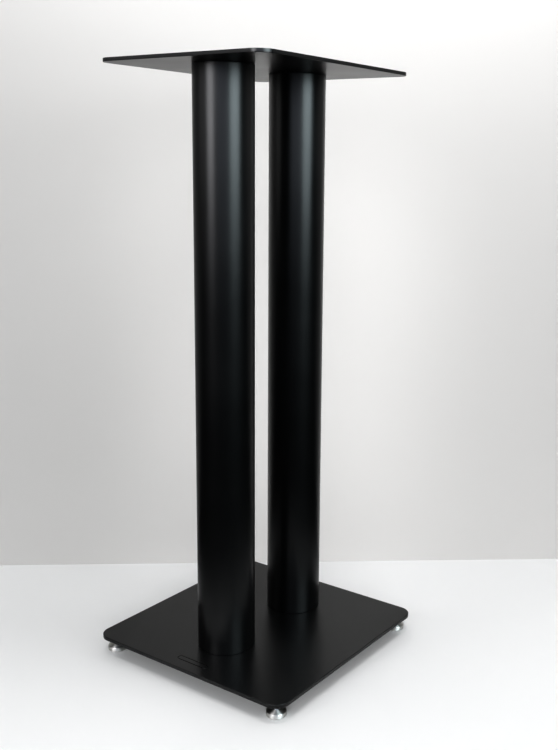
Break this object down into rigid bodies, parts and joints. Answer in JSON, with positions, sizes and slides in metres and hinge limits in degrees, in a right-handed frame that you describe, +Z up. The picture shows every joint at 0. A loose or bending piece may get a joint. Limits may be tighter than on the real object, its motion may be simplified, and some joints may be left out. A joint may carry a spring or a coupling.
{
  "type": "bookshelf speaker stand",
  "caption": "Tall stand for a bookshelf loudspeaker: two round steel columns between a square base and a smaller top plate, on turned levelling feet.",
  "frame": {"origin": "on the floor under the middle of the base plate", "axes": "+Z up along the columns, -Y to the front, +X to the right of someone who faces the front from behind the stand"},
  "size_m": [0.25, 0.25, 0.6186],
  "materials": {
    "black_powder_coat": "fine satin black powder coat",
    "blackened_steel": "black oxide",
    "bare_steel": "bare turned steel",
    "zinc_plated_steel": "bright zinc plate",
    "polished_chrome": "polished chrome plate over turned steel",
    "pad_rubber": "matt black"
  },
  "bodies": {
    "frame": {"base_plate": "black_powder_coat", "top_plate": "black_powder_coat", "front_column": "black_powder_coat", "rear_column": "black_powder_coat", "front_base_plug": "bare_steel", "front_top_plug": "bare_steel", "rear_base_plug": "bare_steel", "rear_top_plug": "bare_steel", "front_base_screw_1": "blackened_steel", "front_base_screw_2": "blackened_steel", "front_base_screw_3": "blackened_steel", "front_top_screw_1": "blackened_steel", "front_top_screw_2": "blackened_steel", "front_top_screw_3": "blackened_steel", "rear_base_screw_1": "blackened_steel", "rear_base_screw_2": "blackened_steel", "rear_base_screw_3": "blackened_steel", "rear_top_screw_1": "blackened_steel", "rear_top_screw_2": "blackened_steel", "rear_top_screw_3": "blackened_steel", "front_left_weld_nut": "zinc_plated_steel", "front_right_weld_nut": "zinc_plated_steel", "rear_left_weld_nut": "zinc_plated_steel", "rear_right_weld_nut": "zinc_plated_steel"},
    "front_left_pad": {"front_left_foot_pad": "pad_rubber"},
    "front_left_foot": {"front_left_foot_disc": "polished_chrome", "front_left_foot_stud": "zinc_plated_steel"},
    "front_right_pad": {"front_right_foot_pad": "pad_rubber"},
    "front_right_foot": {"front_right_foot_disc": "polished_chrome", "front_right_foot_stud": "zinc_plated_steel"},
    "rear_left_pad": {"rear_left_foot_pad": "pad_rubber"},
    "rear_left_foot": {"rear_left_foot_disc": "polished_chrome", "rear_left_foot_stud": "zinc_plated_steel"},
    "rear_right_pad": {"rear_right_foot_pad": "pad_rubber"},
    "rear_right_foot": {"rear_right_foot_disc": "polished_chrome", "rear_right_foot_stud": "zinc_plated_steel"}
  },
  "joints": [
    {"name": "front_left_lift", "type": "slide", "parent": "frame", "child": "front_left_pad", "axis": [0, 0, -1], "range_m": [0, 0.003]},
    {"name": "front_left_turn", "type": "hinge", "parent": "front_left_pad", "child": "front_left_foot", "pos_m": [-0.11, -0.11, 0], "axis": [0, 0, -1], "range_deg": [0, 1080]},
    {"name": "front_right_lift", "type": "slide", "parent": "frame", "child": "front_right_pad", "axis": [0, 0, -1], "range_m": [0, 0.003]},
    {"name": "front_right_turn", "type": "hinge", "parent": "front_right_pad", "child": "front_right_foot", "pos_m": [0.11, -0.11, 0], "axis": [0, 0, -1], "range_deg": [0, 1080]},
    {"name": "rear_left_lift", "type": "slide", "parent": "frame", "child": "rear_left_pad", "axis": [0, 0, -1], "range_m": [0, 0.003]},
    {"name": "rear_left_turn", "type": "hinge", "parent": "rear_left_pad", "child": "rear_left_foot", "pos_m": [-0.11, 0.11, 0], "axis": [0, 0, -1], "range_deg": [0, 1080]},
    {"name": "rear_right_lift", "type": "slide", "parent": "frame", "child": "rear_right_pad", "axis": [0, 0, -1], "range_m": [0, 0.003]},
    {"name": "rear_right_turn", "type": "hinge", "parent": "rear_right_pad", "child": "rear_right_foot", "pos_m": [0.11, 0.11, 0], "axis": [0, 0, -1], "range_deg": [0, 1080]}
  ],
  "couplings": [
    {"joint": "front_left_lift", "follows": "front_left_turn", "m_per_rad": 0.00015915},
    {"joint": "front_right_lift", "follows": "front_right_turn", "m_per_rad": 0.00015915},
    {"joint": "rear_left_lift", "follows": "rear_left_turn", "m_per_rad": 0.00015915},
    {"joint": "rear_right_lift", "follows": "rear_right_turn", "m_per_rad": 0.00015915}
  ]
}
